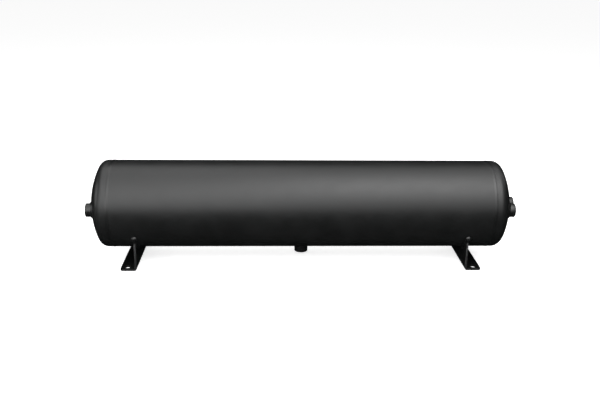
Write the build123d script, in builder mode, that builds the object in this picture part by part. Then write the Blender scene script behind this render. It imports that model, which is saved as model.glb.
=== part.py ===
from build123d import *
import math
import os

# Compressed-air receiver: a rolled shell closed by two pressed torispherical heads, four threaded
# bosses and two folded feet, all welded together. Millimetres.
# Frame: +X along the tank, towards the end with two ports; -Y is the front, where the end ports lie;
# +Z up. The origin is the centre of the four foot holes, on the surface that the feet stand on.

# --- driving dimensions: pressure vessel ---
tank_diameter = 206.0
tangent_length = 910.0            # between the two lines where the knuckles start
wall = 2.5
ground_clearance = 37.0           # under the tank
crown_ratio = 1.0                 # crown radius over diameter, the standard torispherical head
knuckle_ratio = 0.1               # knuckle radius over diameter
straight_flange = 10.0            # straight rim of a head between its joggle and its knuckle

# --- driving dimensions: joggled joint and its welds ---
root_gap = 1.5                    # flat bottom of the groove between shell and joggle
joggle_slope = 2.5                # length of the joggle's slanted shoulder
lip_length = 12.0                 # lip that goes into the shell
lip_clearance = 0.2               # radial, between lip and shell bore
girth_overlap = 2.0               # weld cap laid over each side of the groove
girth_crown = 0.5                 # height of the weld cap
seam_gap = 3.0                    # gap between the rolled edges
seam_angle = 60.0                 # seam position, degrees from the top towards the rear
seam_cap_width = 8.0
seam_cap_height = 1.0
seam_root_width = 5.0
seam_root_height = 0.6
seam_end_margin = 3.0             # the seam is ground flush this far from lip and girth weld

# --- driving dimensions: ports, M22 x 1.5 ---
thread_minor_radius = 10.19
boss_radius = 16.0
boss_hole_clearance = 0.2
boss_chamfer = 1.0
thread_chamfer = 1.2
centre_boss_length = 20.0
centre_boss_height = 15.0         # mouth above the head's crown
front_boss_length = 20.0
front_boss_height = 5.0           # mouth beyond the crown's plane
front_boss_offset = 52.0          # from the tank axis towards the front
drain_boss_length = 22.0
drain_boss_height = 18.5          # mouth below the shell's lowest line
boss_weld_leg = 4.0

# --- driving dimensions: feet ---
foot_inset = 69.0                 # from a head's tangent line back to the web's inner face
foot_thickness = 4.0
foot_length = 166.0
flange_width = 39.0
bend_inner_radius = 2.0
flange_corner_radius = 8.0
horn_flat = 1.8                   # blunt top of the web's two horns
bolt_hole_radius = 6.5
bolt_spacing_y = 134.0
bolt_edge_distance = 16.0         # from the flange's outer edge
foot_weld_leg = 6.5
foot_weld_wrap = 1.0              # degrees that the weld runs on past each horn
foot_weld_sink = 2.0              # extra depth that is trimmed to the shell

# --- values worked out from them ---
tank_radius = tank_diameter / 2
axis_height = ground_clearance + tank_radius
tangent_x = tangent_length / 2
crown_radius = crown_ratio * tank_diameter
knuckle_radius = knuckle_ratio * tank_diameter
knuckle_centre_r = tank_radius - knuckle_radius
crown_reach = crown_radius - knuckle_radius
crown_centre_x = tangent_x - math.sqrt(crown_reach**2 - knuckle_centre_r**2)
crown_angle = math.degrees(math.asin(knuckle_centre_r / crown_reach))
apex_x = crown_centre_x + crown_radius

shoulder_x = tangent_x - straight_flange
groove_x = shoulder_x - joggle_slope
shell_end_x = groove_x - root_gap
lip_end_x = shell_end_x - lip_length
bore_radius = tank_radius - wall
lip_radius = bore_radius - lip_clearance
seam_cap_end_x = shell_end_x - girth_overlap - seam_end_margin
seam_root_end_x = lip_end_x - seam_end_margin

foot_inner_face = tangent_x - foot_inset
bend_outer_radius = bend_inner_radius + foot_thickness
web_middle_x = foot_inner_face + foot_thickness / 2
bolt_x = foot_inner_face + flange_width - bolt_edge_distance
horn_y = foot_length / 2
horn_z = axis_height - math.sqrt(tank_radius**2 - (horn_y - horn_flat) ** 2)
horn_angle = math.degrees(math.asin(horn_y / tank_radius))
foot_weld_angle = horn_angle + foot_weld_wrap

tank_axis = Axis((0, 0, axis_height), (1, 0, 0))
axis_plane = Plane(origin=(0, 0, axis_height), x_dir=(1, 0, 0), z_dir=(0, -1, 0))
left = -1
right = 1


def end_plane(side, y, x):
    """Plane across the tank's axis whose normal points out of that end."""
    return Plane(origin=(side * x, y, axis_height), x_dir=(0, side, 0), z_dir=(side, 0, 0))


def radial_plane(angle):
    """Plane through the tank axis; its y points out at an angle from straight down to the rear."""
    turn = math.radians(angle)
    normal = (0, math.cos(turn), math.sin(turn))
    return Plane(origin=(web_middle_x, 0, axis_height), x_dir=(1, 0, 0), z_dir=normal)


def dome_line(inset):
    """Crown and knuckle, drawn from the tank axis to the tangent line."""
    CenterArc((crown_centre_x, 0), crown_radius - inset, 0, crown_angle)
    CenterArc((tangent_x, knuckle_centre_r), knuckle_radius - inset, crown_angle, 90 - crown_angle)


def solid_shell():
    """The space inside the shell's outer surface."""
    with BuildPart() as cylinder:
        with BuildSketch(end_plane(right, 0, -tangent_x)):
            Circle(tank_radius)
        extrude(amount=tangent_length)
    return cylinder.part


def solid_dome(side):
    """The space inside a head's outer surface, outwards from its tangent line."""
    with BuildPart() as dome:
        with BuildSketch(axis_plane):
            with BuildLine():
                dome_line(0)
                Polyline((tangent_x, tank_radius), (tangent_x, 0), (apex_x, 0))
            make_face()
        revolve(axis=tank_axis)
        if side == left:
            mirror(about=Plane.YZ, mode=Mode.REPLACE)
    return dome.part


def head(side, port_offsets):
    """Pressed head with its joggled lip, and a hole for each boss."""
    with BuildPart() as piece:
        with BuildSketch(axis_plane):
            with BuildLine():
                dome_line(0)
                Polyline(
                    (tangent_x, tank_radius),
                    (shoulder_x, tank_radius),
                    (groove_x, lip_radius),
                    (lip_end_x, lip_radius),
                    (lip_end_x, lip_radius - wall),
                    (shoulder_x, lip_radius - wall),
                    (shoulder_x + joggle_slope, bore_radius),
                    (tangent_x, bore_radius),
                )
                dome_line(wall)
                Line((apex_x - wall, 0), (apex_x, 0))
            make_face()
        revolve(axis=tank_axis)
        if side == left:
            mirror(about=Plane.YZ, mode=Mode.REPLACE)
        for offset in port_offsets:
            with BuildSketch(end_plane(side, -offset, tangent_x)):
                Circle(boss_radius + boss_hole_clearance)
            extrude(amount=crown_radius, mode=Mode.SUBTRACT)
    return piece


def girth_weld(side):
    """Weld that fills the joggle's groove, with a low cap over its edges."""
    cap_end_x = shoulder_x + girth_overlap
    cap_start_x = shell_end_x - girth_overlap
    cap_middle = ((cap_start_x + cap_end_x) / 2, tank_radius + girth_crown)
    with BuildPart() as piece:
        with BuildSketch(axis_plane):
            with BuildLine():
                Polyline(
                    (cap_start_x, tank_radius),
                    (shell_end_x, tank_radius),
                    (shell_end_x, lip_radius),
                    (groove_x, lip_radius),
                    (shoulder_x, tank_radius),
                    (cap_end_x, tank_radius),
                )
                ThreePointArc((cap_end_x, tank_radius), cap_middle, (cap_start_x, tank_radius))
            make_face()
        revolve(axis=tank_axis)
        if side == left:
            mirror(about=Plane.YZ, mode=Mode.REPLACE)
    return piece


def port_boss(mouth, length):
    """Round boss with a threaded bore; the mouth plane's normal points out of it."""
    with BuildPart() as piece:
        with BuildSketch(mouth):
            Circle(boss_radius)
            Circle(thread_minor_radius, mode=Mode.SUBTRACT)
        extrude(amount=-length)
        mouth_face = piece.faces().sort_by(Axis(mouth.origin, mouth.z_dir))[-1]
        rims = mouth_face.edges().sort_by(SortBy.LENGTH)
        chamfer(rims[-1], boss_chamfer)
        chamfer(rims[0], thread_chamfer)
    return piece


def boss_weld(wall_solid, mouth, length):
    """Fillet weld round a boss, where it stands out of the wall's outer surface."""
    with BuildPart() as piece:
        add(wall_solid)
        with BuildSketch(mouth):
            Circle(boss_radius)
        boss = extrude(amount=-length)
        chamfer(piece.edges(Select.NEW), boss_weld_leg)
        add(wall_solid, mode=Mode.SUBTRACT)
        add(boss, mode=Mode.SUBTRACT)
    return piece


def foot(side):
    """Folded L plate: flange on the ground, web cut to the tank, welded underneath it."""
    web_outer_face = foot_inner_face + foot_thickness
    flange_end = foot_inner_face + flange_width
    with BuildPart() as piece:
        with BuildSketch(Plane.XZ) as section:
            with BuildLine():
                Polyline(
                    (foot_inner_face, 0),
                    (flange_end, 0),
                    (flange_end, foot_thickness),
                    (web_outer_face, foot_thickness),
                    (web_outer_face, horn_z),
                    (foot_inner_face, horn_z),
                    close=True,
                )
            make_face()
            base_corners, step_corners, _ = section.vertices().group_by(Axis.Y)
            fillet(base_corners.sort_by(Axis.X)[0], bend_outer_radius)
            fillet(step_corners.sort_by(Axis.X)[0], bend_inner_radius)
        extrude(amount=foot_length / 2, both=True)
        fillet(piece.edges().filter_by(Axis.Z).group_by(Axis.X)[-1], flange_corner_radius)
        with BuildSketch(Plane.XY):
            with Locations((bolt_x, -bolt_spacing_y / 2), (bolt_x, bolt_spacing_y / 2)):
                Circle(bolt_hole_radius)
        extrude(amount=foot_thickness, mode=Mode.SUBTRACT)
        add(solid_shell(), mode=Mode.SUBTRACT)
        if side == left:
            mirror(about=Plane.YZ, mode=Mode.REPLACE)
    return piece


def foot_weld(side, kept_half):
    """Fillet weld between the shell and one side of a foot's web, wrapped half round both horns."""
    half_plate = foot_thickness / 2
    toe = half_plate + foot_weld_leg
    base_r = tank_radius - foot_weld_sink
    top_r = tank_radius + foot_weld_leg
    with BuildPart() as piece:
        with BuildSketch(radial_plane(-foot_weld_angle)):
            with BuildLine():
                Polyline(
                    (-toe, base_r),
                    (-toe, tank_radius),
                    (-half_plate, top_r),
                    (half_plate, top_r),
                    (toe, tank_radius),
                    (toe, base_r),
                    close=True,
                )
            make_face()
        revolve(axis=tank_axis, revolution_arc=2 * foot_weld_angle)
        for angle in (-foot_weld_angle, foot_weld_angle):
            nose_plane = radial_plane(angle)
            with BuildSketch(nose_plane):
                with BuildLine():
                    Polyline(
                        (0, base_r),
                        (toe, base_r),
                        (toe, tank_radius),
                        (half_plate, top_r),
                        (0, top_r),
                        close=True,
                    )
                make_face()
            revolve(axis=Axis(nose_plane.origin, nose_plane.y_dir))
        split(bisect_by=Plane.YZ.offset(web_middle_x), keep=kept_half)
        add(solid_shell(), mode=Mode.SUBTRACT)
        add(foot(right).part, mode=Mode.SUBTRACT)
        if side == left:
            mirror(about=Plane.YZ, mode=Mode.REPLACE)
    return piece


# --- shell: rolled plate with a gap along its seam and the drain boss's hole ---
turn = math.radians(seam_angle)
seam_x_dir = (0, math.cos(turn), -math.sin(turn))
drain_mouth_z = axis_height - tank_radius - drain_boss_height
drain_mouth = Plane(origin=(0, 0, drain_mouth_z), x_dir=(1, 0, 0), z_dir=(0, 0, -1))


def seam_plane(half_length):
    """Plane across the tank whose y points from the axis to the seam."""
    return Plane(origin=(-half_length, 0, axis_height), x_dir=seam_x_dir, z_dir=(1, 0, 0))


with BuildPart() as shell:
    with BuildSketch(seam_plane(shell_end_x)):
        Circle(tank_radius)
        Circle(bore_radius, mode=Mode.SUBTRACT)
        with Locations((0, tank_radius)):
            Rectangle(seam_gap, 4 * wall, mode=Mode.SUBTRACT)
    extrude(amount=2 * shell_end_x)
    with BuildSketch(drain_mouth):
        Circle(boss_radius + boss_hole_clearance)
    extrude(amount=-(drain_boss_height + tank_radius), mode=Mode.SUBTRACT)

with BuildPart() as longitudinal_seam_weld:
    with BuildSketch(seam_plane(shell_end_x)):
        Circle(tank_radius)
        Circle(bore_radius, mode=Mode.SUBTRACT)
        with Locations((0, tank_radius)):
            Rectangle(seam_gap, 4 * wall, mode=Mode.INTERSECT)
    extrude(amount=2 * shell_end_x)
    for width, face_r, crown_r, half_length in (
        (seam_cap_width, tank_radius, tank_radius + seam_cap_height, seam_cap_end_x),
        (seam_root_width, bore_radius, bore_radius - seam_root_height, seam_root_end_x),
    ):
        edge_y = math.sqrt(face_r**2 - (width / 2) ** 2)
        with BuildSketch(seam_plane(half_length)):
            with BuildLine():
                ThreePointArc((-width / 2, edge_y), (0, face_r), (width / 2, edge_y))
                ThreePointArc((width / 2, edge_y), (0, crown_r), (-width / 2, edge_y))
            make_face()
        extrude(amount=2 * half_length)

# --- heads and their welds ---
left_head = head(left, [front_boss_offset])
right_head = head(right, [0, front_boss_offset])
left_girth_weld = girth_weld(left)
right_girth_weld = girth_weld(right)

# --- ports ---
left_mouth = end_plane(left, -front_boss_offset, apex_x + front_boss_height)
right_front_mouth = end_plane(right, -front_boss_offset, apex_x + front_boss_height)
right_centre_mouth = end_plane(right, 0, apex_x + centre_boss_height)
left_port_boss = port_boss(left_mouth, front_boss_length)
right_front_port_boss = port_boss(right_front_mouth, front_boss_length)
right_centre_port_boss = port_boss(right_centre_mouth, centre_boss_length)
drain_port_boss = port_boss(drain_mouth, drain_boss_length)
left_port_weld = boss_weld(solid_dome(left), left_mouth, front_boss_length)
right_front_port_weld = boss_weld(solid_dome(right), right_front_mouth, front_boss_length)
right_centre_port_weld = boss_weld(solid_dome(right), right_centre_mouth, centre_boss_length)
drain_port_weld = boss_weld(solid_shell(), drain_mouth, drain_boss_length)

# --- feet and their welds ---
left_foot = foot(left)
right_foot = foot(right)
left_foot_inner_weld = foot_weld(left, Keep.BOTTOM)
left_foot_outer_weld = foot_weld(left, Keep.TOP)
right_foot_inner_weld = foot_weld(right, Keep.BOTTOM)
right_foot_outer_weld = foot_weld(right, Keep.TOP)

pieces = {
    "shell": shell,
    "longitudinal_seam_weld": longitudinal_seam_weld,
    "left_head": left_head,
    "right_head": right_head,
    "left_girth_weld": left_girth_weld,
    "right_girth_weld": right_girth_weld,
    "left_port_boss": left_port_boss,
    "right_front_port_boss": right_front_port_boss,
    "right_centre_port_boss": right_centre_port_boss,
    "drain_port_boss": drain_port_boss,
    "left_port_weld": left_port_weld,
    "right_front_port_weld": right_front_port_weld,
    "right_centre_port_weld": right_centre_port_weld,
    "drain_port_weld": drain_port_weld,
    "left_foot": left_foot,
    "right_foot": right_foot,
    "left_foot_inner_weld": left_foot_inner_weld,
    "left_foot_outer_weld": left_foot_outer_weld,
    "right_foot_inner_weld": right_foot_inner_weld,
    "right_foot_outer_weld": right_foot_outer_weld,
}
os.makedirs("parts", exist_ok=True)
for name, piece in pieces.items():
    piece.part.label = name
    export_step(piece.part, f"parts/{name}.step")
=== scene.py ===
import math

import bpy
from mathutils import Matrix, Vector


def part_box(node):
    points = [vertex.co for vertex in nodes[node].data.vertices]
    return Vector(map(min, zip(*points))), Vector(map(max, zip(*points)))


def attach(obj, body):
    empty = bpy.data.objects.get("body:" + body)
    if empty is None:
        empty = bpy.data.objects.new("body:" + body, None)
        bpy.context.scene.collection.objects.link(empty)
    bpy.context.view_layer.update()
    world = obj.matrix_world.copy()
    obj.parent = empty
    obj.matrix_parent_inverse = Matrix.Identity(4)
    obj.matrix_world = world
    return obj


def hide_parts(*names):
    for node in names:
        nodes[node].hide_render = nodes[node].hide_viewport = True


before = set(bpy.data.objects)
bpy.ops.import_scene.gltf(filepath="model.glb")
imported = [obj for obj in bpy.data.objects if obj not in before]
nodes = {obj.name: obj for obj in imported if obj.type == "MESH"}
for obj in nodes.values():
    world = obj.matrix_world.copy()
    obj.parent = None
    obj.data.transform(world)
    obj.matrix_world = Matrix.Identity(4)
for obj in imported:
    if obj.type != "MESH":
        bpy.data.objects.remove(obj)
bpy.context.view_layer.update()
mm = 0.001
print("frame loaded:", len(nodes), "nodes")

# sizes that several pieces share, read from the frame
shellLow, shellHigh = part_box("shell")
tankRadius = (shellHigh.y - shellLow.y) / 2
axisHeight = (shellHigh.z + shellLow.z) / 2
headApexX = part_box("right_head")[1].x
crownRadius = 2 * tankRadius  # as on every standard torispherical head


def linearColour(text):
    values = [int(text[i:i + 2], 16) / 255 for i in (1, 3, 5)]
    return [v / 12.92 if v < 0.04045 else ((v + 0.055) / 1.055) ** 2.4 for v in values] + [1]


def deselectAll():
    if bpy.context.object and bpy.context.object.mode == "EDIT":
        bpy.ops.object.mode_set(mode="OBJECT")
    bpy.ops.object.select_all(action="DESELECT")


def makeActive(piece):
    deselectAll()
    piece.select_set(True)
    bpy.context.view_layer.objects.active = piece


def applyModifiers(piece):
    makeActive(piece)
    for modifier in list(piece.modifiers):
        bpy.ops.object.modifier_apply(modifier=modifier.name)


def selectInEdit(piece, kind, wanted):  # leaves the piece in edit mode with just these selected
    makeActive(piece)
    bpy.ops.object.mode_set(mode="EDIT")
    bpy.ops.mesh.select_mode(type=kind)
    bpy.ops.mesh.select_all(action="DESELECT")
    bpy.ops.object.mode_set(mode="OBJECT")
    items = piece.data.polygons if kind == "FACE" else piece.data.edges
    for item in items:
        item.select = bool(wanted(item))
    bpy.ops.object.mode_set(mode="EDIT")


def finishPiece(piece, node, materials, smoothAngle=40):
    makeActive(piece)
    bpy.ops.object.shade_smooth_by_angle(angle=math.radians(smoothAngle))
    for material in materials:
        piece.data.materials.append(material)
    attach(piece, "root")
    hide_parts(node)


# rounded results of a fit that matched the view, the tank's outline and its ports together
cameraSet = {
    "place": (-0.0731, -1.750, 0.5877),  # from the middle of the tank's axis
    "yaw": 2.27,  # degrees, turned a little towards the end with two ports
    "pitch": 18.32,  # looking down
    "roll": 0.77,
    "lens": 46.23,  # on a 36 mm sensor
}


def makeCamera(s):
    yaw, pitch, roll = (math.radians(s[name]) for name in ("yaw", "pitch", "roll"))
    look = Vector((math.sin(yaw) * math.cos(pitch), math.cos(yaw) * math.cos(pitch), -math.sin(pitch)))
    level = Vector((math.cos(yaw), -math.sin(yaw), 0))
    upright = level.cross(look)
    right = level * math.cos(roll) + upright * math.sin(roll)
    top = upright * math.cos(roll) - level * math.sin(roll)
    bpy.ops.object.camera_add()
    camera = bpy.context.object
    camera.data.lens = s["lens"]
    camera.data.sensor_width = 36
    camera.data.clip_end = 60
    place = Vector(s["place"]) + Vector((0, 0, axisHeight))
    camera.matrix_world = Matrix.Translation(place) @ Matrix((right, top, -look)).transposed().to_4x4()
    bpy.context.scene.camera = camera


makeCamera(cameraSet)
print("camera placed")


def addNode(tree, kind, settings=None, values=None, links=None):
    node = tree.nodes.new(kind)
    for name, value in (settings or {}).items():
        setattr(node, name, value)
    for name, value in (values or {}).items():
        node.inputs[name].default_value = value
    for name, source in (links or {}).items():
        tree.links.new(source, node.inputs[name])
    return node


def startMaterial(name, values):
    material = bpy.data.materials.new(name)
    material.use_nodes = True
    tree = material.node_tree
    shader = tree.nodes["Principled BSDF"]
    for key, value in values.items():
        shader.inputs[key].default_value = value
    place = addNode(tree, "ShaderNodeTexCoord").outputs["Object"]
    return material, tree, shader, place


def addNoise(tree, place, size, detail=3):  # size is the pattern's cell in metres
    values = {"Scale": 1 / size, "Detail": detail, "Roughness": 0.55}
    return addNode(tree, "ShaderNodeTexNoise", values=values, links={"Vector": place}).outputs["Fac"]


def addRange(tree, source, low, high, fromLow=0.3, fromHigh=0.7):
    values = {"From Min": fromLow, "From Max": fromHigh, "To Min": low, "To Max": high}
    return addNode(tree, "ShaderNodeMapRange", values=values, links={"Value": source}).outputs["Result"]


def addMix(tree, factor, first, second):  # colours given as hex, or sockets
    node = addNode(tree, "ShaderNodeMix", {"data_type": "RGBA"}, links={"Factor": factor})
    for key, value in (("A", first), ("B", second)):
        socket = next(s for s in node.inputs if s.name == key and s.type == "RGBA")
        if isinstance(value, str):
            socket.default_value = linearColour(value)
        else:
            tree.links.new(value, socket)
    return next(s for s in node.outputs if s.type == "RGBA")


def addBump(tree, height, distance, strength, under=None):
    links = {"Height": height} if under is None else {"Height": height, "Normal": under}
    values = {"Distance": distance, "Strength": strength}
    return addNode(tree, "ShaderNodeBump", values=values, links=links).outputs["Normal"]


blackCoat = {
    "deep": "#070808",  # where the film is thick
    "thin": "#0b0c0c",
    "dust": "#151616",
    "cloudSize": 60 * mm,
    "peelSize": 2.6 * mm,  # orange peel of a sprayed and stoved film
    "dustSize": 0.9 * mm,
}


# sprayed stoving enamel: a deep neutral black with a soft sheen, faint clouds and fine orange peel
def makeCoat(name, roughness, peel, paintedEdgeHighlight=False):
    s = blackCoat
    material, tree, shader, place = startMaterial(name, {"Roughness": roughness})
    clouds = addRange(tree, addNoise(tree, place, s["cloudSize"]), 0, 1)
    colour = addMix(tree, clouds, s["deep"], s["thin"])
    specks = addRange(tree, addNoise(tree, place, s["dustSize"], 1), 0, 0.5, 0.68, 0.8)
    colour = addMix(tree, specks, colour, s["dust"])
    # painted highlight: convex edges, found by pointiness and broken up by noise, are lightened towards grey
    # to stand in for the light they catch
    if paintedEdgeHighlight:
        edges = addNode(tree, "ShaderNodeNewGeometry").outputs["Pointiness"]
        paintedEdgeMask = addRange(tree, edges, 0, 0.8, 0.53, 0.60)
        edgeHighlightPatches = addRange(tree, addNoise(tree, place, 4 * mm), 0, 1, 0.4, 0.6)
        paintedEdgeFactor = addNode(tree, "ShaderNodeMath", {"operation": "MULTIPLY"})
        tree.links.new(paintedEdgeMask, paintedEdgeFactor.inputs[0])
        tree.links.new(edgeHighlightPatches, paintedEdgeFactor.inputs[1])
        colour = addMix(tree, paintedEdgeFactor.outputs[0], colour, "#3a3b3b")
    tree.links.new(colour, shader.inputs["Base Color"])
    gloss = addRange(tree, addNoise(tree, place, 0.5 * s["cloudSize"]), roughness - 0.03, roughness + 0.03)
    tree.links.new(gloss, shader.inputs["Roughness"])
    ripples = addBump(tree, addNoise(tree, place, s["peelSize"], 1), 0.03 * mm, peel)
    tree.links.new(ripples, shader.inputs["Normal"])
    return material, tree, shader, place, ripples


tankCoat = makeCoat("blackStovedEnamel", 0.42, 0.25)[0]
# the folded plate's coat carries a painted highlight on its edges
plateCoat = makeCoat("blackEnamelOnFoldedPlate", 0.40, 0.35, paintedEdgeHighlight=True)[0]


# the upright's sheared ends: painted highlight, a patchy grey standing in for the light these narrow faces
# catch
def makeCutEdgeHighlightCoat():
    material, tree, shader, place, ripples = makeCoat("shearedEdgeEnamelWithPaintedHighlight", 0.45, 0.4)
    cutEdgeHighlightPatches = addRange(tree, addNoise(tree, place, 7 * mm), 0, 1)
    tree.links.new(addMix(tree, cutEdgeHighlightPatches, "#2c2d2e", "#474848"), shader.inputs["Base Color"])
    return material


cutEdgeHighlightCoat = makeCutEdgeHighlightCoat()


# the same enamel over weld metal: slightly fuller gloss, small pits and spatter under the film
def makeWeldCoat():
    material, tree, shader, place, ripples = makeCoat("blackEnamelOnWeld", 0.34, 0.3)
    pits = addNoise(tree, place, 0.8 * mm, 4)
    tree.links.new(addBump(tree, pits, 0.08 * mm, 0.5, ripples), shader.inputs["Normal"])
    return material


weldCoat = makeWeldCoat()


bandPeriod = 0.314  # metres from band to band of the wave texture at a scale of one


# enamel over a turned boss: the tool's rings still show through the film
def makeTurnedCoat(name, direction):
    material, tree, shader, place, ripples = makeCoat(name, 0.36, 0.2)
    ringPitch = 0.35 * mm  # coarser than the 0.15 mm feed, so that it shows
    bands = {"wave_type": "BANDS", "bands_direction": direction}
    values = {"Scale": bandPeriod / ringPitch, "Distortion": 0.3}
    rings = addNode(tree, "ShaderNodeTexWave", bands, values, {"Vector": place}).outputs["Fac"]
    tree.links.new(addBump(tree, rings, 0.02 * mm, 0.5, ripples), shader.inputs["Normal"])
    return material


# tapped steel, masked while the tank was coated: bare, cut bright and darkened by preserving oil
def makeThreadSteel():
    values = {"Metallic": 1, "Roughness": 0.3}
    material, tree, shader, place = startMaterial("oiledTappedSteel", values)
    oil = addRange(tree, addNoise(tree, place, 3 * mm), 0, 1)
    tree.links.new(addMix(tree, oil, "#7d7a75", "#4c4943"), shader.inputs["Base Color"])
    gloss = addRange(tree, addNoise(tree, place, 1.2 * mm), 0.24, 0.4)
    tree.links.new(gloss, shader.inputs["Roughness"])
    scratches = addNoise(tree, place, 0.3 * mm, 2)
    tree.links.new(addBump(tree, scratches, 0.01 * mm, 0.4), shader.inputs["Normal"])
    return material


threadSteel = makeThreadSteel()
print("materials made")

for name in ("shell", "left_head", "right_head"):
    nodes[name].data.materials.clear()
    nodes[name].data.materials.append(tankCoat)


# a bead starts as a flat grid: one side runs along the weld, the other round its closed section
def makeBead(name, steps, sides, place, closed):
    deselectAll()
    bpy.ops.mesh.primitive_grid_add(x_subdivisions=steps, y_subdivisions=sides, size=1)
    bead = bpy.context.object
    bead.name = name
    for vertex in bead.data.vertices:
        side = round((vertex.co.y + 0.5) * sides) % sides
        vertex.co = place(vertex.co.x + 0.5, side)
    bpy.ops.object.mode_set(mode="EDIT")
    bpy.ops.mesh.select_all(action="SELECT")
    bpy.ops.mesh.remove_doubles(threshold=0.005 * mm)
    if not closed:
        bpy.ops.mesh.fill_holes(sides=0)
    bpy.ops.mesh.normals_make_consistent(inside=False)
    bpy.ops.object.mode_set(mode="OBJECT")
    return bead


facePoints = 9  # across the visible face of a bead
buriedEdge = 0.85  # where the buried corners lie, as a share of the half width


def ripple(count, across, depth):  # count grows by one for each ripple, across is -1 to 1
    wave = abs(math.sin(math.pi * (count - 0.45 * across ** 2)))
    return depth * (wave - 1) * (1 - across ** 4)


# slow drift of a bead's edge, about -1 to 1. It never repeats, so on a ring its ends do not meet
def wander(distance):
    return 0.6 * math.sin(distance / (31 * mm)) + 0.4 * math.sin(distance / (13 * mm) + 1.7)


# the girth welds are dressed after welding, so their ripples are nearly gone
girthBead = {
    "pitch": 1.9 * mm,
    "rippleDepth": 0.05 * mm,
    "stepsPerRipple": 4,
    "sunk": 1.0 * mm,
    "toe": 0.03 * mm,
    "dressed": 0.8,  # share of the weld cap's height that is left
}


def makeGirthBead(node):
    s = girthBead
    low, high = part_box(node)
    middle = (low.x + high.x) / 2
    halfWidth = (high.x - low.x) / 2
    crown = s["dressed"] * (high.z - axisHeight - tankRadius)
    ripples = round(2 * math.pi * tankRadius / s["pitch"])

    def place(along, side):
        angle = 2 * math.pi * along
        if side < facePoints:
            across = 2 * side / (facePoints - 1) - 1
            height = crown * (1 - across ** 2) ** 2 - s["toe"] * across ** 4
            height += ripple(along * ripples, across, s["rippleDepth"])
        else:
            across = buriedEdge if side == facePoints else -buriedEdge
            height = -s["sunk"]
        radius = tankRadius + height
        y = radius * math.sin(angle)
        z = axisHeight + radius * math.cos(angle)
        return Vector((middle + across * halfWidth, y, z))

    bead = makeBead(node + "_bead", ripples * s["stepsPerRipple"], facePoints + 2, place, True)
    finishPiece(bead, node, [weldCoat])


for name in ("left_girth_weld", "right_girth_weld"):
    makeGirthBead(name)

seamBead = {
    "width": 8 * mm,
    "height": 1 * mm,
    "pitch": 1.6 * mm,
    "rippleDepth": 0.12 * mm,
    "stepsPerRipple": 4,
    "fade": 8 * mm,  # ground down towards each end
    "endGap": 3 * mm,  # from the girth welds
    "sunk": 0.8 * mm,
}


def makeSeamBead(node):
    s = seamBead
    low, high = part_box(node)
    turn = math.atan2((low.y + high.y) / 2, (low.z + high.z) / 2 - axisHeight)
    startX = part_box("left_girth_weld")[1].x + s["endGap"]
    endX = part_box("right_girth_weld")[0].x - s["endGap"]
    length = endX - startX
    ripples = round(length / s["pitch"])

    def place(along, side):
        distance = along * length
        fade = min(1, distance / s["fade"], (length - distance) / s["fade"]) ** 0.5
        if side < facePoints:
            across = 2 * side / (facePoints - 1) - 1
            height = s["height"] * (1 - across ** 2) * fade - 0.04 * mm
            height += ripple(along * ripples, across, s["rippleDepth"] * fade)
        else:
            across = buriedEdge if side == facePoints else -buriedEdge
            height = -s["sunk"]
        offset = across * s["width"] / 2 * (0.96 + 0.04 * wander(distance))
        angle = turn + offset / tankRadius
        radius = tankRadius + height
        return Vector((startX + distance, radius * math.sin(angle), axisHeight + radius * math.cos(angle)))

    bead = makeBead(node + "_bead", ripples * s["stepsPerRipple"], facePoints + 2, place, False)
    finishPiece(bead, node, [weldCoat])


makeSeamBead("longitudinal_seam_weld")
print("girth and seam beads made")

bossBead = {
    "leg": 4 * mm,
    "bulge": 0.35 * mm,
    "pitch": 1.9 * mm,
    "rippleDepth": 0.16 * mm,
    "stepsPerRipple": 5,
    "sunk": 0.7 * mm,
    "inBoss": 0.5 * mm,
}


def headSurfaceX(y, z):  # height of the pressed head's crown over the YZ plane
    reach = math.hypot(y, z - axisHeight)
    return headApexX - crownRadius + math.sqrt(crownRadius ** 2 - reach ** 2)


# the leg's drift makes the first and last sections differ by about 0.09 mm, so this ring is left open
def makeBossBead(boss, node):
    s = bossBead
    low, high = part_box(boss)
    middle = (low + high) / 2
    onHead = abs(middle.x) > shellHigh.x
    outward = math.copysign(1, middle.x)
    bossRadius = (high.y - low.y) / 2
    ripples = round(2 * math.pi * (bossRadius + s["leg"] / 2) / s["pitch"])

    def place(along, side):
        angle = 2 * math.pi * along
        if side < facePoints:
            share = side / (facePoints - 1)  # 0 at the boss, 1 at the toe
            across = 2 * share - 1
            rise = s["bulge"] * (1 - across ** 2) + ripple(along * ripples, across, s["rippleDepth"])
            leg = s["leg"] * (0.95 + 0.05 * wander(angle * bossRadius))
            reach = leg * share + rise * math.sqrt(0.5)
            lift = leg * (1 - share) + rise * math.sqrt(0.5) - 0.05 * mm * share
        else:
            underToe = (0.8 * s["leg"], -s["sunk"])
            inBossLow = (-s["inBoss"], -s["sunk"])
            inBossHigh = (-s["inBoss"], s["leg"] / 2)
            reach, lift = (underToe, inBossLow, inBossHigh)[side - facePoints]
        radius = bossRadius + reach
        if onHead:
            y = middle.y + radius * math.cos(angle)
            z = middle.z + radius * math.sin(angle)
            return Vector((outward * (headSurfaceX(y, z) + lift), y, z))
        x = middle.x + radius * math.cos(angle)
        y = middle.y + radius * math.sin(angle)
        return Vector((x, y, axisHeight - math.sqrt(tankRadius ** 2 - y ** 2) - lift))

    bead = makeBead(node + "_bead", ripples * s["stepsPerRipple"], facePoints + 3, place, True)
    finishPiece(bead, node, [weldCoat])


for name in ("left_port", "right_front_port", "right_centre_port", "drain_port"):
    makeBossBead(name + "_boss", name + "_weld")
print("boss beads made")

footBead = {
    "bulge": 0.5 * mm,
    "noseBulge": 1.7 * mm,  # the weld ends in a round blob
    "noseReach": 2,  # ripples over which the bead swells towards its nose
    "crest": 0.4 * mm,  # roundness of the nose over the web's end
    "pitch": 2.4 * mm,
    "rippleDepth": 0.28 * mm,
    "stepsPerRipple": 5,
    "noseRipples": 3,
    "wrap": math.radians(1),  # the bead runs on past the web's horn by this
    "sunk": 1.2 * mm,
}


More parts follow.
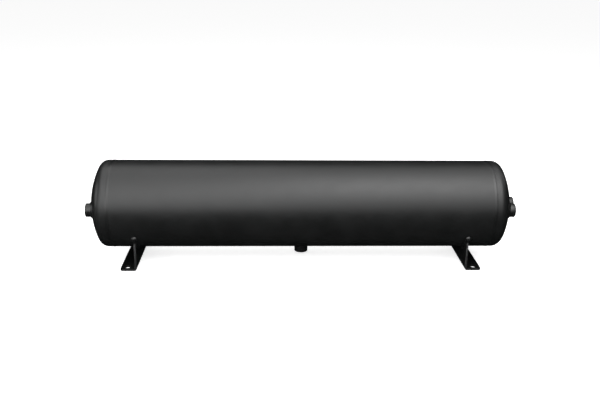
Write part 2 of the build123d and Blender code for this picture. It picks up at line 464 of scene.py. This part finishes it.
def makeFootBead(foot, node):
    s = footBead
    low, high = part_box(node)
    footLow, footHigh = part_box(foot)
    isLeft = footHigh.x < 0
    innerFace = footHigh.x if isLeft else footLow.x
    isInner = abs(low.x + high.x) < 2 * abs(innerFace)
    webMiddle = low.x if isLeft == isInner else high.x
    webHalf = abs(webMiddle - innerFace)
    toeOffset = high.x - low.x  # from the web's middle to the toe on the shell
    leg = toeOffset - webHalf
    towards = 1 if isLeft == isInner else -1  # direction along X in which this bead lies
    noseAngle = math.asin(footHigh.y / tankRadius) + s["wrap"]
    ripples = round(2 * noseAngle * tankRadius / s["pitch"])
    total = ripples + 2 * s["noseRipples"]

    def place(along, side):
        count = along * total - s["noseRipples"]  # negative in the first nose, past ripples in the last
        beyond = max(-count, count - ripples, 0) / s["noseRipples"]
        swing = beyond * math.pi / 2
        angle = noseAngle * (2 * min(max(count / ripples, 0), 1) - 1)
        swell = 1 - min(max(min(count, ripples - count) / s["noseReach"], 0), 1)
        bulge = s["bulge"] + (s["noseBulge"] - s["bulge"]) * swell ** 2
        if side < facePoints:
            share = side / (facePoints - 1)  # 0 at the toe on the shell, 1 at the web
            across = 2 * share - 1
            rise = bulge * (1 - across ** 2) + ripple(count, across, s["rippleDepth"])
            width = leg * (0.96 + 0.04 * wander(count * s["pitch"]))
            offset = webHalf + width * (1 - share) + rise * math.sqrt(0.5)
            lift = leg * share + rise * math.sqrt(0.5) - 0.05 * mm * (1 - share)
        else:
            overWeb = (0, leg + s["crest"])
            underWeb = (0, -s["sunk"])
            underToe = (toeOffset - leg / 4, -s["sunk"])
            offset, lift = (overWeb, underWeb, underToe)[side - facePoints]
        ahead = offset * math.sin(swing) / tankRadius
        angle += ahead if count > 0 else -ahead
        radius = tankRadius + lift
        x = webMiddle + towards * offset * math.cos(swing)
        return Vector((x, -radius * math.sin(angle), axisHeight - radius * math.cos(angle)))

    bead = makeBead(node + "_bead", total * s["stepsPerRipple"], facePoints + 3, place, False)
    finishPiece(bead, node, [weldCoat])


for foot in ("left_foot", "right_foot"):
    for side in ("inner", "outer"):
        makeFootBead(foot, foot + "_" + side + "_weld")
print("foot beads made")

portBoss = {
    "boreRadius": 11.05 * mm,  # at the thread's roots
    "outerChamfer": 1.0 * mm,
    "mouthChamfer": 1.3 * mm,
    "innerChamfer": 0.4 * mm,
    "edgeSoftness": 0.12 * mm,
    "segments": 96,
}
portThread = {
    "pitch": 1.5 * mm,
    "crestRadius": 10.2 * mm,
    "rootHalf": 0.69 * mm,  # half widths of the ridge along the bore
    "crestHalf": 0.19 * mm,
    "steps": 64,  # in one turn
}


def rimTest(piece, radius, height):  # edges of one rim circle
    def wanted(edge):
        first, second = (piece.data.vertices[i].co for i in edge.vertices)
        onRim = all(abs(math.hypot(p.x, p.y) - radius) < 0.02 * mm for p in (first, second))
        return onRim and all(abs(p.z - height) < 0.02 * mm for p in (first, second))
    return wanted


# turned boss standing on its inner end, mouth up at height zero
def makeBossBody(name, radius, length):
    s = portBoss
    deselectAll()
    place = (0, 0, -length / 2)
    bpy.ops.mesh.primitive_cylinder_add(vertices=s["segments"], radius=radius, depth=length, location=place)
    body = bpy.context.object
    body.name = name
    bpy.ops.object.transform_apply(location=True)
    selectInEdit(body, "FACE", lambda face: abs(face.normal.z) > 0.9)
    bpy.ops.mesh.inset(thickness=radius - s["boreRadius"])
    bpy.ops.mesh.bridge_edge_loops()
    bpy.ops.object.mode_set(mode="OBJECT")
    rims = (
        (radius, 0, s["outerChamfer"]),
        (s["boreRadius"], 0, s["mouthChamfer"]),
        (radius, -length, s["innerChamfer"]),
        (s["boreRadius"], -length, s["innerChamfer"]),
    )
    for rimRadius, height, size in rims:
        selectInEdit(body, "EDGE", rimTest(body, rimRadius, height))
        bpy.ops.mesh.bevel(offset=size, segments=1, affect="EDGES")
        bpy.ops.object.mode_set(mode="OBJECT")
    softening = body.modifiers.new("softEdges", "BEVEL")
    softening.width = s["edgeSoftness"]
    softening.segments = 2
    softening.limit_method = "ANGLE"
    softening.angle_limit = math.radians(30)
    applyModifiers(body)
    return body


# the thread's ridge: a trapezium wound down the bore by the Screw modifier
def makeThreadRidge(length):
    s = portThread
    turns = int((length - portBoss["mouthChamfer"] - portBoss["innerChamfer"]) / s["pitch"])
    deselectAll()
    bpy.ops.mesh.primitive_plane_add(size=1)
    ridge = bpy.context.object
    top = -portBoss["mouthChamfer"] * 0.55
    for vertex in ridge.data.vertices:
        atRoot = vertex.co.x > 0
        half = s["rootHalf"] if atRoot else s["crestHalf"]
        radius = portBoss["boreRadius"] + 0.1 * mm if atRoot else s["crestRadius"]
        vertex.co = (radius, 0, top - s["rootHalf"] + math.copysign(half, vertex.co.y))
    screw = ridge.modifiers.new("thread", "SCREW")
    screw.angle = 2 * math.pi
    screw.screw_offset = -s["pitch"]
    screw.iterations = turns
    screw.steps = s["steps"]
    screw.render_steps = s["steps"]
    screw.use_smooth_shade = False
    applyModifiers(ridge)
    bpy.ops.object.mode_set(mode="EDIT")
    bpy.ops.mesh.select_all(action="SELECT")
    bpy.ops.mesh.remove_doubles(threshold=0.005 * mm)
    bpy.ops.mesh.fill_holes(sides=0)
    bpy.ops.mesh.normals_make_consistent(inside=False)
    bpy.ops.object.mode_set(mode="OBJECT")
    return ridge


def makePortBoss(node, direction):
    low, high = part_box(node)
    radius = (high.y - low.y) / 2
    size = high - low
    length = size.x if direction.x else size.z
    body = makeBossBody(node + "_turned", radius, length)
    ridge = makeThreadRidge(length)
    coatMaterial = turnedCoats["X" if direction.x else "Z"]
    for piece in (body, ridge):
        piece.data.materials.append(coatMaterial)
        piece.data.materials.append(threadSteel)
        for face in piece.data.polygons:
            middle = face.center
            inBore = math.hypot(middle.x, middle.y) < portBoss["boreRadius"] + 0.9 * portBoss["mouthChamfer"]
            face.material_index = 1 if inBore else 0
    makeActive(body)
    ridge.select_set(True)
    bpy.ops.object.join()
    mouth = (low + high) / 2 + direction * length / 2
    turn = Vector((0, 0, 1)).rotation_difference(direction).to_matrix().to_4x4()
    body.data.transform(Matrix.Translation(mouth) @ turn)
    finishPiece(body, node, [], 30)


turnedCoats = {
    "X": makeTurnedCoat("blackEnamelOnTurnedEndBoss", "X"),
    "Z": makeTurnedCoat("blackEnamelOnTurnedDrainBoss", "Z"),
}
makePortBoss("left_port_boss", Vector((-1, 0, 0)))
makePortBoss("right_front_port_boss", Vector((1, 0, 0)))
makePortBoss("right_centre_port_boss", Vector((1, 0, 0)))
makePortBoss("drain_port_boss", Vector((0, 0, -1)))
print("bosses made")

foldedFoot = {"edgeRadius": 0.45 * mm, "edgeSegments": 3, "flangeTop": 12 * mm}


# folded plate foot: its edges lose their sharpness under the shear, the deburring and the film
def makeFoot(node):
    s = foldedFoot
    makeActive(nodes[node])
    bpy.ops.object.duplicate()
    foot = bpy.context.object
    foot.name = node + "_plate"
    foot.parent = None
    foot.data.materials.clear()
    bpy.ops.mesh.customdata_custom_splitnormals_clear()
    bpy.ops.object.mode_set(mode="EDIT")
    bpy.ops.mesh.select_all(action="SELECT")
    bpy.ops.mesh.remove_doubles(threshold=0.005 * mm)
    bpy.ops.mesh.dissolve_limited(angle_limit=math.radians(0.5))
    bpy.ops.object.mode_set(mode="OBJECT")
    rounding = foot.modifiers.new("roundEdges", "BEVEL")
    rounding.width = s["edgeRadius"]
    rounding.segments = s["edgeSegments"]
    rounding.limit_method = "ANGLE"
    rounding.angle_limit = math.radians(40)
    applyModifiers(foot)
    finishPiece(foot, node, [plateCoat, cutEdgeHighlightCoat], 35)
    # faces along Y above the flange, the upright's sheared ends, take the coat whose grey is painted
    # highlight
    for face in foot.data.polygons:
        if abs(face.normal.y) > 0.9 and face.center.z > s["flangeTop"]:
            face.material_index = 1


for name in ("left_foot", "right_foot"):
    makeFoot(name)
print("feet made")

studio = {
    "floorSize": 40,
    "floorGlow": 0.7,  # a translucent table lit from below, so that shadows stay faint
    "worldStrength": 0.3,
    "backdropStrength": 1.0,  # what the camera sees beyond the table
}
# strip lights arched over the tank, in a left and a right half. Each half has an even base power and
# swells smoothly round one elevation: the left one low at the front, the right one higher and stronger
lightArch = {
    "distance": 1.7,
    "stripLength": 1.4,
    "stripWidth": 0.42,
    "firstElevation": 8,  # degrees above the horizon at the front
    "step": 14,
    "strips": 9,
    "left": {"side": -1, "base": 3.5, "swell": 3, "middle": 40, "spread": 30},
    "right": {"side": 1, "base": 2, "swell": 8.5, "middle": 60, "spread": 30},
}
sideLights = {
    "leftSoftbox": {"place": (-1.8, -0.2, 0.55), "size": (0.9, 0.9), "watts": 6},
    "leftFrontSoftbox": {"place": (-1.4, -1.3, 0.5), "size": (0.7, 0.9), "watts": 4.5},
    "rightSoftbox": {"place": (1.5, 0.35, 1.0), "size": (0.6, 0.6), "watts": 1.5},
}


def makeFloor(s):
    material, tree, shader, place = startMaterial("paleAcrylicTable", {"Roughness": 0.9})
    shader.inputs["Base Color"].default_value = linearColour("#f3f3f3")
    shader.inputs["Emission Color"].default_value = linearColour("#ffffff")
    shader.inputs["Emission Strength"].default_value = s["floorGlow"]
    deselectAll()
    bpy.ops.mesh.primitive_plane_add(size=s["floorSize"])
    floor = bpy.context.object
    floor.name = "studioFloor"
    floor.data.materials.append(material)
    floor.visible_glossy = False


def makeWorld(s):
    world = bpy.data.worlds.new("paleStudio")
    bpy.context.scene.world = world
    world.use_nodes = True
    sky = world.node_tree.nodes["Background"]
    sky.inputs["Color"].default_value = (1, 1, 1, 1)
    rays = addNode(world.node_tree, "ShaderNodeLightPath").outputs["Is Camera Ray"]
    strength = addRange(world.node_tree, rays, s["worldStrength"], s["backdropStrength"], 0, 1)
    world.node_tree.links.new(strength, sky.inputs["Strength"])
    world.cycles_visibility.glossy = False
    bpy.context.scene.view_settings.view_transform = "Standard"


def addSoftbox(name, place, size, watts, target):
    bpy.ops.object.light_add(type="AREA", location=place)
    light = bpy.context.object
    light.name = name
    light.data.shape = "RECTANGLE"
    light.data.size, light.data.size_y = size
    light.data.energy = watts
    light.rotation_euler = (Vector(target) - Vector(place)).to_track_quat("-Z", "Y").to_euler()


def addLightArch(s):
    size = (s["stripLength"], s["stripWidth"])
    for half in (s["left"], s["right"]):
        x = half["side"] * s["stripLength"] / 2
        for count in range(s["strips"]):
            elevation = s["firstElevation"] + count * s["step"]
            angle = math.radians(elevation)
            y = -s["distance"] * math.cos(angle)
            z = axisHeight + s["distance"] * math.sin(angle)
            away = (elevation - half["middle"]) / half["spread"]
            watts = half["base"] + half["swell"] * math.exp(-away ** 2)
            addSoftbox("archStrip", (x, y, z), size, watts, (x, 0, axisHeight))


makeFloor(studio)
makeWorld(studio)
addLightArch(lightArch)
for name, s in sideLights.items():
    addSoftbox(name, s["place"], s["size"], s["watts"], (0, 0, axisHeight))
print("studio lit")
